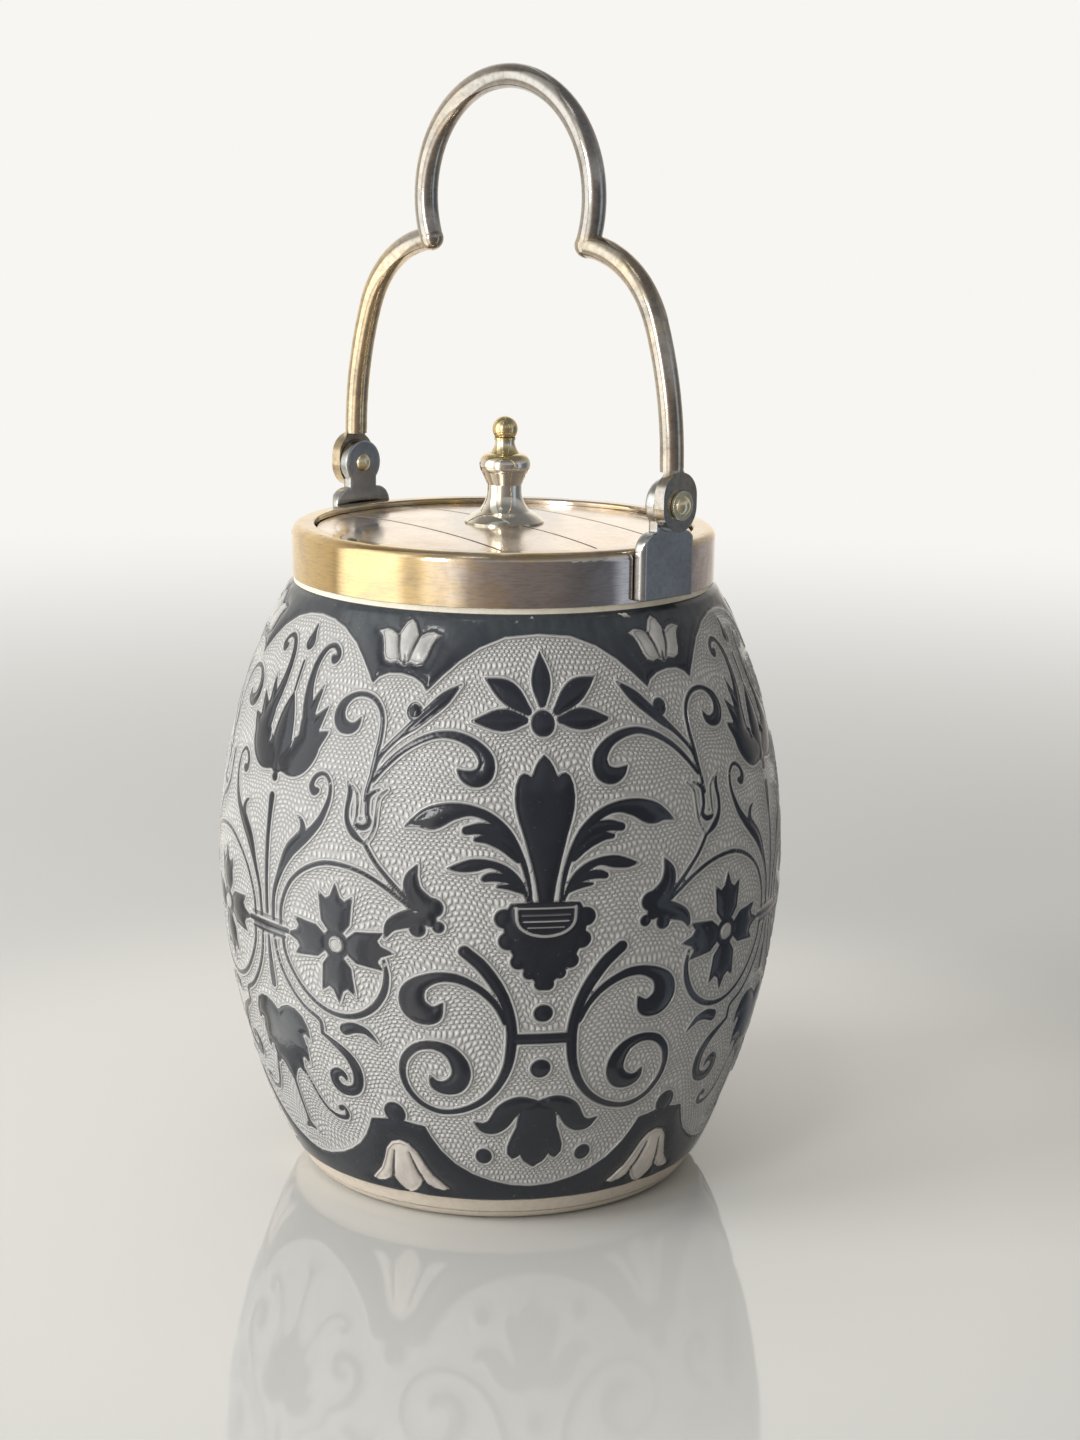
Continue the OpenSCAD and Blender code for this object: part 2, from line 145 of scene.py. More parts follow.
# Light of the room: angle, red, green and blue
SCREEN_GLOW = [
    (-178, 1.1, 1.05, 0.97),
    (-160, 1.05, 1, 0.92),
    (-135, 0.95, 0.9, 0.81),
    (-104, 0.72, 0.66, 0.56),
    (-99, 0.5, 0.44, 0.36),
    (-92, 1.9, 1.9, 1.8),
    (-58, 2, 2, 1.9),
    (-52, 1.05, 1, 0.9),
    (-46, 1, 0.95, 0.85),
    (-40, 1.5, 1.45, 1.35),
    (-27, 1.4, 1.35, 1.25),
    (-18, 0.5, 0.45, 0.4),
    (-10, 0.34, 0.3, 0.27),
    (8, 0.23, 0.205, 0.19),
    (24, 0.21, 0.19, 0.18),
    (40, 0.14, 0.14, 0.145),
    (58, 0.15, 0.165, 0.19),
    (64, 0.5, 0.56, 0.64),
    (76, 0.5, 0.54, 0.6),
    (82, 0.15, 0.165, 0.19),
    (110, 0.16, 0.18, 0.2),
    (130, 0.4, 0.37, 0.35),
    (150, 0.6, 0.56, 0.52),
    (164, 1.05, 1, 0.92),
    (178, 1.1, 1.05, 0.97),
]


def spline(points, steps=8):
    """Smooth curve through rows of numbers."""
    p = np.asarray(points, float)
    p = np.vstack([2 * p[0] - p[1], p, 2 * p[-1] - p[-2]])
    t = np.linspace(0, 1, steps, endpoint=False)[:, None]
    parts = []
    for a, b, c, d in zip(p, p[1:], p[2:], p[3:]):
        bend = (c - a) * t + (2 * a - 5 * b + 4 * c - d) * t**2 + (3 * b - a - 3 * c + d) * t**3
        parts.append(b + bend / 2)
    return np.vstack(parts + [p[-2:-1]])


# First panel: rows of (degrees from its middle, height, half width) along each stroke's centre
FIRST_STROKES = {
    "daisy petal up": [(0, 122.3, 0.9), (0, 127, 2.25), (0, 132.4, 0.1)],
    "daisy petal aslant": [(3.1, 120.7, 0.9), (7.2, 124.4, 2.3), (12.2, 127.2, 0.1)],
    "daisy petal level": [(3.8, 118.9, 0.8), (8.5, 118.9, 2.2), (14.7, 118.6, 0.1)],
    "twig": [(17.4, 125.8, 0.1), (20.8, 122.8, 1.25), (24, 119.8, 1.2), (26.8, 117.2, 1), (29.2, 115.1, 0.6),
             (31.4, 112.8, 0.45), (33.6, 109.8, 0.45), (34.6, 106.5, 0.45)],
    "upper scroll": [(34.3, 105, 0.42), (32, 108.2, 0.5), (28.8, 111.6, 0.55), (25, 114.2, 0.6),
                     (21, 115.6, 0.65), (17, 115.3, 0.85), (13.6, 113.6, 1.1), (11.5, 110.8, 1.6),
                     (11.8, 108, 1.9), (13.6, 106.9, 1.75), (15.6, 107.4, 1.1), (17.2, 108.7, 0.1)],
    "high leaf": [(2.7, 80.5, 0.35), (3.5, 86.5, 0.5), (5, 91.5, 0.65), (7.3, 95.8, 0.9), (10.5, 98.9, 0.95),
                  (14.2, 100.3, 1.1), (18, 99.9, 1.8), (21.5, 98.4, 2.4), (24.3, 97.6, 1.2),
                  (26.8, 96.2, 0.1)],
    "high leaf, second lobe": [(5.6, 92.5, 0.8), (8.5, 95.6, 1.4), (12, 96.6, 1.2), (15, 96.1, 0.85)],
    "high leaf, third lobe": [(5.2, 90, 0.6), (7.8, 92.9, 1.1), (10.8, 94.4, 1), (13.1, 94.3, 0.5)],
    "low leaf": [(3.3, 81.2, 0.3), (4.8, 85, 0.6), (7.3, 87.7, 0.85), (10.3, 89.1, 0.8), (13.4, 88.8, 1.3),
                 (16, 88.2, 0.95), (18.3, 87.9, 0.1)],
    "low leaf, second lobe": [(5.2, 84.8, 0.6), (7.5, 86.1, 0.9), (10, 86.4, 0.95), (11.4, 86, 0.7)],
    "low leaf, third lobe": [(4.2, 83.2, 0.5), (6.5, 84.2, 0.65), (8.9, 84.4, 0.3)],
    "fleur, upright leaf": [(24.1, 88.2, 0.1), (25.2, 85, 1.4), (24.6, 82, 1.9), (22.4, 79.4, 2.3),
                            (20.9, 79.1, 2.1)],
    "fleur, hanging leaf": [(22.3, 77.4, 2.2), (26.8, 75.8, 1.8), (29.2, 74.2, 1.2), (30.5, 71.2, 0.1)],
    "club and lower scroll": [(15, 69.8, 1.25), (11.8, 66.6, 1.3), (8.9, 62, 1.25), (6.9, 57, 1.1),
                              (6, 52, 1.1), (6, 47.5, 1.1), (6.6, 43, 1), (8, 39, 0.9), (10.2, 35.5, 0.8),
                              (13.4, 32.7, 0.7), (17.3, 31, 0.62), (21, 30.7, 0.6), (24.6, 32.2, 0.6),
                              (27.2, 35.3, 0.65), (28.3, 39.2, 0.7), (27.6, 43.3, 0.8), (25, 46.4, 0.9),
                              (21.6, 47.3, 1), (18.4, 46.2, 1.4), (16.4, 43.4, 1.9), (16, 40.2, 2.1),
                              (17.3, 37.8, 2.1), (19.6, 36.9, 1.6), (21.5, 37.6, 1.1), (22.4, 39.6, 0.2)],
    "middle scroll": [(7.2, 53.5, 0.6), (8.6, 56.8, 0.65), (10.7, 59.8, 0.75), (13.6, 62.2, 0.85),
                      (17, 63.6, 1), (20.5, 63.4, 1.15), (23.6, 61.7, 1.7), (25.2, 59.2, 2.6),
                      (25, 56.4, 2.9), (23.2, 54.8, 2.6), (21, 54.8, 1.7), (19.2, 57.6, 0.1)],
    "crossbar": [(-5, 49.5, 1.2), (5.5, 49.5, 1.2)],
    "foot leaf": [(1, 33.4, 1), (4, 33.2, 1.9), (6.5, 31.3, 2.5), (8, 28.8, 2.4), (9.5, 27.3, 1.9),
                  (11.5, 27, 1.2), (13.6, 28.4, 0.15)],
}
# Dots and scallops: (degrees, height, radius)
FIRST_DOTS = [
    (0, 118.2, 2.65), (27, 119.9, 1.8), (0, 55.6, 2), (0, 42.2, 2.2), (11.6, 19.2, 2),
    (23.9, 74.1, 1.7), (19.9, 74.9, 1.25), (21.5, 76.3, 1.4),
    (7.6, 77.3, 2.1), (6.9, 72.3, 2), (4.9, 67.6, 1.7), (2.9, 64.9, 1.3), (0.6, 62.4, 1.4),
]
# Right halves of closed outlines, from the middle line out and back to it
FIRST_OUTLINES = {
    "bud": [(0, 111.8), (1, 110.8), (1.8, 109.4), (2.3, 107.9), (2.7, 107.2), (3.3, 107.9), (4.2, 108.1),
            (5, 107.4), (5.6, 105.6), (5.8, 103), (5.6, 100.8), (5.1, 98.4), (4.1, 95), (2.9, 90), (1.9, 85),
            (1.3, 80.4)],
    "vase": [(0, 81), (6.5, 80.6), (8, 77), (7.3, 72), (5.2, 67.5), (3, 64.5), (0, 61)],
    "foot body": [(0, 34), (3.5, 32.5), (4.2, 29.2), (4.4, 27.2), (5.4, 24.6), (6.2, 22), (6.2, 20),
                  (5, 18.4), (3.9, 19), (3.3, 19.7), (2.4, 17.9), (0.3, 16.3)],
}
# Thin light lines that stand on the dark glaze
FIRST_LINES = {
    "bowl": [(-5.6, 79.8, 0.3), (-5.2, 76.2, 0.3), (-3.2, 74.2, 0.3), (0, 73.5, 0.3), (3.2, 74.2, 0.3),
             (5.2, 76.2, 0.3), (5.6, 79.8, 0.3)],
    "bowl band 1": [(-5.4, 79.6, 0.2), (5.4, 79.6, 0.2)],
    "bowl band 2": [(-4.6, 78.2, 0.16), (4.6, 78.2, 0.16)],
    "bowl band 3": [(-4.3, 76.8, 0.16), (4.3, 76.8, 0.16)],
    "bowl band 4": [(-3.4, 75.4, 0.16), (3.4, 75.4, 0.16)],
}

# Second panel, likewise
SECOND_STROKES = {
    "drop": [(0, 130.6, 1.6), (0, 132.6, 0.7), (0, 134.3, 0.25)],
    "bloom, curled petal": [(6.6, 116, 1.9), (5.2, 120, 1.35), (4.7, 124, 1), (5.1, 127.6, 0.85),
                            (6.6, 130.2, 0.6), (8.6, 131, 0.5), (10.3, 130.2, 0.5), (10.8, 129, 0.7),
                            (10, 128.2, 0.9), (9.3, 128.6, 0.6)],
    "bloom, first tooth": [(7, 116.5, 1.6), (9.2, 122.8, 0.1)],
    "bloom, second tooth": [(9, 114, 1.9), (11.9, 118.6, 0.1)],
    "bloom, third tooth": [(9.6, 110.5, 2.3), (13.4, 113.6, 0.1)],
    "bloom, side": [(2, 105.8, 2.8), (5.6, 106.8, 4), (8.2, 110.2, 3.7), (7.2, 114.6, 2.5)],
    "bloom, heart": [(0, 104.6, 2.2), (0, 109, 3.5), (0, 113.5, 2.9), (0, 117, 1.6), (0, 119.8, 0.2)],
    "pistil": [(0, 120.4, 0.3), (0, 123.4, 0.35), (0, 126.6, 0.3)],
    "side scroll": [(25.2, 105, 0.42), (25.7, 110, 0.45), (26.2, 114, 0.45), (26.1, 117.5, 0.45),
                    (25.1, 120, 0.45), (23, 121.8, 0.45), (20.3, 122.3, 0.45), (17.8, 121.6, 0.55),
                    (15.9, 119.8, 1), (15.4, 117.5, 1.4), (16.4, 115.6, 1.5), (18.4, 115, 1.15),
                    (20, 115.7, 0.8), (20.9, 117.5, 0.12)],
    "tulip stalk": [(25.3, 106, 0.42), (24.7, 103, 0.4), (24.4, 100.6, 0.3)],
    "tulip, near petal": [(20.1, 104, 0.12), (20.9, 102, 0.5), (20.6, 98.1, 0.45), (21, 95.4, 0.55),
                          (22.5, 93.2, 0.7), (24.8, 91.5, 0.3)],
    "tulip, inner petal": [(21.3, 103.3, 0.1), (22.6, 101.6, 0.18), (22.9, 98, 0.18), (22.7, 96, 0.15)],
    "tulip, cup": [(27.4, 103.3, 0.12), (25.9, 102.4, 0.35), (25.1, 101.2, 0.45), (25.1, 98.1, 0.45),
                   (25.7, 96.2, 0.5), (24.8, 95, 0.55), (23.4, 95, 0.5), (22.6, 95.6, 0.2)],
    "tulip, far petal": [(29, 103.4, 0.12), (27.4, 101.5, 0.2), (27.1, 98, 0.2), (26.9, 95.2, 0.2),
                         (26.1, 93, 0.2), (25, 91.5, 0.2)],
    "tulip stem": [(25.2, 91.2, 0.4), (27.4, 87.8, 0.4), (30.5, 84.2, 0.4), (33.2, 81.3, 0.45),
                   (35.4, 79.2, 0.5)],
    "ring, over": [(4.3, 69.5, 0.4), (4.8, 74, 0.4), (7, 79.2, 0.4), (10.5, 83, 0.4), (15, 85.5, 0.42),
                   (19.5, 86.1, 0.42), (24.5, 85.2, 0.42), (29, 83, 0.42), (32.5, 80.5, 0.42),
                   (35, 78.7, 0.5)],
    "ring, under": [(4.8, 66, 0.4), (5.4, 62.5, 0.4), (7.6, 58.2, 0.4), (11, 54.3, 0.42), (15, 51.9, 0.45),
                    (19, 51.2, 0.5), (23, 52.1, 0.6), (26.6, 54.7, 0.7), (28.9, 58.5, 0.7),
                    (29.7, 62.5, 0.55), (29.3, 66, 0.3)],
    "tie 1": [(-5.3, 69.9, 0.35), (5.3, 69.9, 0.35)],
    "tie 2": [(-6.3, 68.2, 0.55), (6.3, 68.2, 0.55)],
    "tie 3": [(-5.3, 66.5, 0.4), (5.3, 66.5, 0.4)],
    "middle stem": [(0, 97.3, 0.95), (0, 94, 0.75), (0, 88, 0.6), (0, 80, 0.55), (0, 71, 0.45)],
    "curled leaf": [(2, 70.5, 0.45), (2.5, 76, 0.5), (4.4, 81.5, 0.75), (6.7, 86.3, 1.4), (9.2, 89.2, 1.5),
                    (11.8, 91.4, 1), (14.2, 94.5, 0.75), (15.6, 97.8, 0.55), (16.2, 100.5, 0.4),
                    (15.8, 103.3, 0.35), (14.2, 104.8, 0.35), (12.2, 104, 0.45), (11.3, 102, 0.6),
                    (12, 100.8, 0.9), (12.9, 101, 0.6)],
    "curled leaf, tooth": [(9.4, 89.6, 1), (10.2, 92, 0.8), (9.6, 93.9, 0.45), (8.4, 94.7, 0.15)],
    "curled leaf, notch": [(7.2, 87.5, 1), (8.9, 91, 0.1)],
    "lower drop": [(0, 65.5, 0.3), (0, 61, 0.55), (0, 57, 0.8), (0, 54, 0.75)],
    "lower stem": [(2, 66, 0.38), (2.6, 62, 0.38), (4, 58, 0.38), (6.5, 54, 0.4), (9.5, 51, 0.4),
                   (12.9, 49, 0.45), (13.4, 47.4, 0.45), (13.3, 45.8, 0.45)],
    "lower scroll": [(13.3, 45.6, 0.4), (17, 43.3, 0.8), (19.3, 41.2, 1.1), (20.7, 38.6, 1.3),
                     (20.9, 35.8, 1.3), (20, 33.4, 1.2), (18.2, 32.3, 1.2), (16, 32.3, 1.3),
                     (14.6, 33.6, 1.3), (14.5, 35.5, 1.2), (15.8, 36.6, 1), (17.2, 36.2, 0.7),
                     (17.8, 34.9, 0.3)],
    "bract": [(19.4, 48, 1.3), (21.5, 48.8, 1.2), (24, 48.6, 0.8), (25.6, 47.4, 0.5), (26.9, 46, 0.1)],
    "side tendril": [(5, 34.5, 0.35), (6.4, 31.5, 0.35), (8, 28, 0.35), (10, 25.4, 0.4), (12.5, 24.3, 0.5),
                     (14.8, 24.5, 0.55), (15.7, 25.8, 0.5), (15, 27.2, 0.5), (14.1, 26.8, 0.7)],
    "middle tendril": [(0, 30.5, 0.45), (0, 26, 0.35), (0, 21, 0.35), (0, 18.8, 0.8)],
    "tendril foot": [(-2.2, 17.4, 0.2), (0, 18.4, 0.8), (2.2, 17.4, 0.2)],
}
SECOND_DOTS = [(0, 101.6, 1), (23.8, 96.7, 0.3)]
SECOND_OUTLINES = {
    "hanging leaf": [(0, 47.6), (1.6, 48.9), (3.8, 49.8), (6, 49.6), (8, 48.2), (9.2, 45.6), (9.3, 42.8),
                     (7.9, 44), (7.1, 43.4), (7.8, 40.5), (7.6, 36), (6.2, 37.8), (5.4, 37.2), (4.9, 33),
                     (3.6, 34.4), (2.4, 33.6), (0, 29.6)],
}
SECOND_LINES = {
    "bloom vein": [(3.7, 108.6, 0.12), (4, 112.4, 0.32), (3.3, 116.6, 0.3)],
}
# Flower in the second panel's ring, in degrees from the first panel's middle: centre and radius of its light
# boss, the same for the dark eye round it, and half of one petal as (mm out from the centre, mm aside)
RING_FLOWER = (SECTOR - 18.8, 68, 1.9)
RING_EYE = (SECTOR - 18.8, 68, 3.3)
RING_PETAL = [(2.6, 1.6), (5, 3.6), (8, 3.9), (11.4, 4.3), (10, 2.4), (10.8, 1.2), (13.8, 0)]

# Edges of the lobed ground, in degrees from the first panel's middle
TOP_EDGE = [(0, 136.1), (8, 135.5), (14, 133.3), (18.5, 130.4), (22, 127.3), (25, 124.2), (26, 125.6),
            (28.2, 126.8), (31.4, 127.4), (34.5, 127.2), (36.8, 126.2), (38, 124.8), (39.5, 126.8),
            (42, 129.6), (45, 132.3), (50, 135), (55, 136.3), (60, 136.7)]
BOTTOM_EDGE = [(0, 10.5), (5, 10.9), (10, 12.2), (14.5, 14), (18.5, 16.7), (21.5, 20), (23.6, 23.6),
               (24.7, 26.2), (27.6, 26.6), (31.4, 27.4), (35.2, 26.6), (37.6, 26.2), (38.6, 24), (40.2, 21.2),
               (42.8, 18.2), (46, 15.9), (50, 13.8), (55, 12.2), (60, 11.4)]
KNOB = (SPANDREL, 28.8, 2.7)
# Right halves of the light flowers in the spandrels, in degrees from the spandrel's middle
TOP_FLOWER = [(0, 138.3), (1.3, 137.5), (2.2, 136), (2.8, 134.9), (4.4, 135.7), (6.2, 136), (8.4, 135.3),
              (7, 134.4), (6.2, 133), (5.6, 131), (4.8, 129.6), (3.2, 129.1), (1.6, 129.5), (0, 128.7)]
BELL_FLOWER = [(0, 21.6), (2.2, 20.9), (4, 18.8), (5.3, 15.8), (7, 12.8), (9.3, 10.6), (10.8, 9.2),
               (9.2, 8.6), (7, 9), (5, 10.1), (4.2, 11.3), (3.4, 9.4), (1.8, 7.7), (0, 6.9)]
# Grooves between their petals, likewise
FLOWER_GROOVES = {
    "top flower, petals": [(0.9, 129.6, 0.12), (1.8, 132.2, 0.25), (2.6, 134.8, 0.3)],
    "top flower, lobes": [(0, 128.8, 0.4), (0, 130.8, 0.12)],
    "bell, petals": [(4.1, 11.2, 0.35), (3, 14.6, 0.28), (1.9, 18.6, 0.12)],
}


def segment_distance(points, a, b):
    """Distance from points to segment a-b, and where along it the nearest point lies."""
    along = b - a
    t = np.clip((points - a) @ along / max(along @ along, 1e-12), 0, 1)
    return np.linalg.norm(points - a - t[:, None] * along, axis=1), t


def flat(rows):
    """Rows that begin with degrees, with those turned into millimetres."""
    rows = np.array(rows, float)
    rows[:, 0] *= DEGREE_MM
    return rows


class Field:
    """Signed distance to a growing set of shapes, negative inside, at fixed points.

    Distances are kept up to REACH. PLAIN is given to points of the jar that have no ornament.
    """

    REACH = 8
    PLAIN = 16

    def __init__(self, points):
        self.points = points
        self.value = np.full(len(points), float(self.REACH))

    def near(self, shape, grow):
        low = shape.min(axis=0) - grow
        high = shape.max(axis=0) + grow
        return np.flatnonzero(((self.points > low) & (self.points < high)).all(axis=1))

    def lower(self, index, value):
        self.value[index] = np.minimum(self.value[index], value)

    def stroke(self, rows):
        """Brush stroke through rows of (x, y, half width)."""
        rows = spline(rows)
        for a, b in zip(rows, rows[1:]):
            index = self.near(np.array([a[:2], b[:2]]), self.REACH)
            distance, t = segment_distance(self.points[index], a[:2], b[:2])
            self.lower(index, distance - np.maximum(a[2] + t * (b[2] - a[2]), 0))

    def dot(self, row):
        index = self.near(row[None, :2], row[2] + self.REACH)
        self.lower(index, np.linalg.norm(self.points[index] - row[:2], axis=1) - row[2])

    def outline(self, corners):
        """Closed outline with straight sides."""
        index = self.near(corners, self.REACH)
        points = self.points[index]
        best = np.full(len(points), np.inf)
        inside = np.zeros(len(points), bool)
        for a, b in zip(corners, np.roll(corners, -1, axis=0)):
            best = np.minimum(best, segment_distance(points, a, b)[0])
            if a[1] != b[1]:
                crossing = a[0] + (points[:, 1] - a[1]) / (b[1] - a[1]) * (b[0] - a[0])
                inside ^= ((a[1] > points[:, 1]) != (b[1] > points[:, 1])) & (points[:, 0] < crossing)
        self.lower(index, np.where(inside, -best, best))


def mirrored(half):
    """Closed outline from its right half."""
    half = np.asarray(half, float)
    return np.vstack([half, half[::-1] * (-1, 1)])


def panel(field, middle, turn, strokes, dots, outlines):
    """Draws one panel's shapes. turn is 1 where its right half runs up the sector, -1 where it runs down."""
    place = np.array([turn, 1, 1])
    shift = np.array([middle * DEGREE_MM, 0, 0])
    for rows in strokes.values():
        field.stroke(flat(rows) * place + shift)
    for row in dots:
        field.dot(flat([row])[0] * place + shift)
    for half in outlines.values():
        field.outline(flat(mirrored(half)) * place[:2] + shift[:2])


def ring_flower(field):
    """Four toothed petals in the second panel's ring."""
    half = np.array(RING_PETAL)
    petal = np.vstack([half, half[::-1] * (1, -1)])
    for quarter in range(4):
        turn = math.radians(90 * quarter)
        spin = np.array([[math.cos(turn), math.sin(turn)], [-math.sin(turn), math.cos(turn)]])
        field.outline(petal @ spin + flat([RING_FLOWER])[0, :2])


def band(field, edge, far_z):
    """Dark band beyond one edge of the lobed ground, which runs on mirrored at both ends of the sector."""
    edge = np.array(edge, float)
    before = (edge * (-1, 1))[:0:-1]
    after = (np.array([2 * SECTOR, 0]) + edge * (-1, 1))[-2::-1]
    edge = np.vstack([before, edge, after])
    corners = np.vstack([edge, [(edge[-1, 0], far_z), (edge[0, 0], far_z)]])
    field.outline(flat(corners))


def ornament(degrees, heights):
    """Signed distances in mm to each kind of shape in the ornament, in the order of KINDS."""
    points = np.stack([degrees * DEGREE_MM, heights], axis=-1)
    flowers = Field(points)
    for half in (TOP_FLOWER, BELL_FLOWER):
        flowers.outline(flat(mirrored(half) + (SPANDREL, 0)))
    flowers.dot(flat([RING_FLOWER])[0])
    bands = Field(points)
    band(bands, TOP_EDGE, SHOULDER_Z + 20)
    band(bands, BOTTOM_EDGE, -20)
    bands.dot(flat([KNOB])[0])
    bands.dot(flat([RING_EYE])[0])
    dark = Field(points)
    panel(dark, 0, 1, FIRST_STROKES, FIRST_DOTS, FIRST_OUTLINES)
    panel(dark, SECTOR, -1, SECOND_STROKES, SECOND_DOTS, SECOND_OUTLINES)
    ring_flower(dark)
    dark.value = np.minimum(dark.value, np.maximum(bands.value, -flowers.value))
    lines = Field(points)
    panel(lines, 0, 1, FIRST_LINES, [], {})
    panel(lines, SECTOR, -1, SECOND_LINES, [], {})
    grooves = Field(points)
    for side in (1, -1):
        panel(grooves, SPANDREL, side, FLOWER_GROOVES, [], {})
    return [dark.value, lines.value, flowers.value, grooves.value]


KINDS = ("dark", "lines", "flowers", "grooves")


def arc_radius(across, along):
    """Radius of the arc through a tangent point and a second point."""
    return (across**2 + along**2) / (2 * across)


HEEL_TOP_R = FOOT_R + math.sqrt(HEEL_R**2 - (HEEL_R - FOOT_H) ** 2)
LOWER_ARC_R = arc_radius(BELLY_R - HEEL_TOP_R, BELLY_Z - FOOT_H)
UPPER_ARC_R = arc_radius(BELLY_R - SHOULDER_R, SHOULDER_Z - BELLY_Z)


def barrel_arc(z):
    """Radius of the arc in the barrel's profile at height z."""
    return np.where(z < BELLY_Z, LOWER_ARC_R, UPPER_ARC_R)


def barrel(z, inset=0):
    """Radius of the barrel's outside, or of a wall inset from it, at height z."""
    arc = barrel_arc(z)
    return BELLY_R - arc + np.sqrt((arc - inset) ** 2 - (z - BELLY_Z) ** 2)


def smooth_step(low, high, x):
    t = np.clip((x - low) / (high - low), 0, 1)
    return t * t * (3 - 2 * t)


def relief(dark, lines, flowers, grooves, z):
    """Height of the moulded ornament over the barrel."""
    ridge = np.clip(1 - ((dark - RIDGE_W / 2) / RIDGE_W) ** 2, 0, 1)
    swell = 1 - np.exp(np.minimum(dark, 0) / SWELL_REACH)
    line = smooth_step(0.35, -0.1, lines) * (dark < 0)
    bloom = 1 - np.exp(np.minimum(flowers, 0) / SWELL_REACH)
    groove = smooth_step(0.6, -0.1, grooves) * (flowers < 0)
    height = RIDGE_H * ridge + SWELL_H * swell + LINE_H * line + FLOWER_H * bloom - GROOVE_D * groove
    above_foot = smooth_step(GLAZE_LINE - 0.6, GLAZE_LINE + 0.6, z)
    below_top = smooth_step(SHOULDER_Z, SHOULDER_Z - 1.5, z)
    return height * above_foot * below_top


def sector_grid(rows_z):
    """Grid over one sector whose points near an outline are drawn onto it, with the ornament there."""
    degrees, heights = np.meshgrid(np.linspace(0, SECTOR, COLUMNS_PER_SECTOR + 1), rows_z)
    shape = degrees.shape
    dark = ornament(degrees.ravel(), heights.ravel())[0].reshape(shape)
    slope_z, slope_x = np.gradient(dark)
    slope_x = slope_x / (np.gradient(degrees, axis=1) * DEGREE_MM)
    slope_z = slope_z / np.gradient(heights, axis=0)
    steep = np.maximum(slope_x**2 + slope_z**2, 0.25)
    pull = np.where(np.abs(dark) < 0.5 * ROW_STEP, -dark / steep, 0)
    limit = 0.45 * ROW_STEP
    move_x = np.clip(pull * slope_x, -limit, limit)
    move_z = np.clip(pull * slope_z, -limit, limit)
    move_x[:, (0, -1)] = 0
    move_z[(0, -1), :] = 0
    degrees = degrees + move_x / DEGREE_MM
    heights = heights + move_z
    found = [part.reshape(shape) for part in ornament(degrees.ravel(), heights.ravel())]
    return degrees, heights, found


def around(grid):
    """Repeats a sector's columns round the jar, turned over in every second sector."""
    return np.hstack([grid[:, :-1], grid[:, :0:-1]] * (180 // SECTOR))


def angles_around(degrees):
    """Angles of the columns that around() makes."""
    parts = []
    for start in range(0, 360, 2 * SECTOR):
        parts += [start + degrees[:, :-1], start + 2 * SECTOR - degrees[:, :0:-1]]
    return np.hstack(parts)


def rings_below():
    """Plain rings from the base's middle to the foot of the barrel, as (radius, height)."""
    recess_r = FOOT_R - FOOT_RING_W
    rings = [(2, BASE_RECESS), (recess_r / 2, BASE_RECESS), (recess_r - 0.4, BASE_RECESS)]
    rings += [(recess_r, BASE_RECESS - 0.4), (recess_r, 0.5)]
    rings += [(recess_r + 0.5, 0), (FOOT_R - 0.6, 0), (FOOT_R, 0.02)]
    turns = np.linspace(0, math.acos((HEEL_R - FOOT_H) / HEEL_R), 7)[1:-1]
    rings += [(FOOT_R + HEEL_R * math.sin(a), HEEL_R * (1 - math.cos(a))) for a in turns]
    return np.array(rings)


def rings_above():
    """Plain rings from the shoulder over the neck and down the inside to the floor's middle."""
    bore_r = NECK_R - NECK_T
    floor_z = BASE_RECESS + FLOOR_T
    rings = [(NECK_R + 0.3, SHOULDER_Z), (NECK_R, SHOULDER_Z + 0.3), (NECK_R, NECK_TOP - 0.5)]
    rings += [(NECK_R - 0.5, NECK_TOP), (bore_r + 0.5, NECK_TOP)]
    rings += [(bore_r, NECK_TOP - 0.5), (bore_r, SHOULDER_Z + 1)]
    inner_z = np.linspace(SHOULDER_Z, floor_z + 3, 45)
    inner_r = barrel(inner_z, WALL_T)
    rings += list(zip(inner_r, inner_z))
    rings += [(inner_r[-1] - 1, floor_z + 1), (inner_r[-1] - 4, floor_z), (20, floor_z), (2, floor_z)]
    return np.array(rings)


def barrel_rows():
    """Heights of the barrel's rings, evenly spaced along its side."""
    z = np.linspace(FOOT_H, SHOULDER_Z, 2001)
    length = np.concatenate([[0], np.cumsum(np.hypot(np.diff(barrel(z)), np.diff(z)))])
    count = round(length[-1] / ROW_STEP)
    return np.interp(np.linspace(0, length[-1], count + 1), length, z)


def jar_rings():
    """Radius, height and angle of every point in the jar's rings, and the ornament there."""
    degrees, heights, found = sector_grid(barrel_rows())
    z = around(heights)
    found = [around(part) for part in found]
    lift = relief(*found, z)
    lean = np.arcsin((z - BELLY_Z) / barrel_arc(z))
    columns = z.shape[1]
    even = np.linspace(0, 360, columns, endpoint=False)
    below, above = rings_below(), rings_above()

    def plain(rings):
        r, h = [np.repeat(part[:, None], columns, axis=1) for part in rings.T]
        return r, h, np.tile(even, (len(rings), 1))

    side = (barrel(z) + lift * np.cos(lean), z + lift * np.sin(lean), angles_around(degrees))
    places = [np.vstack(parts) for parts in zip(plain(below), side, plain(above))]
    pad = ((len(below), len(above)), (0, 0))
    found = [np.pad(part, pad, constant_values=Field.PLAIN) for part in found]
    return places, found


def ring_faces(rows, columns):
    """Quads between the rings, and fans that close the first and the last ring with a middle point each."""
    index = np.arange(rows * columns).reshape(rows, columns)
    right = np.roll(index, -1, axis=1)
    quads = np.stack([index[:-1], right[:-1], right[1:], index[1:]], axis=-1).reshape(-1, 4)
    base = np.full(columns, rows * columns)
    first = np.stack([base, right[0], index[0]], axis=-1)
    last = np.stack([base + 1, index[-1], right[-1]], axis=-1)
    return quads, np.vstack([first, last])


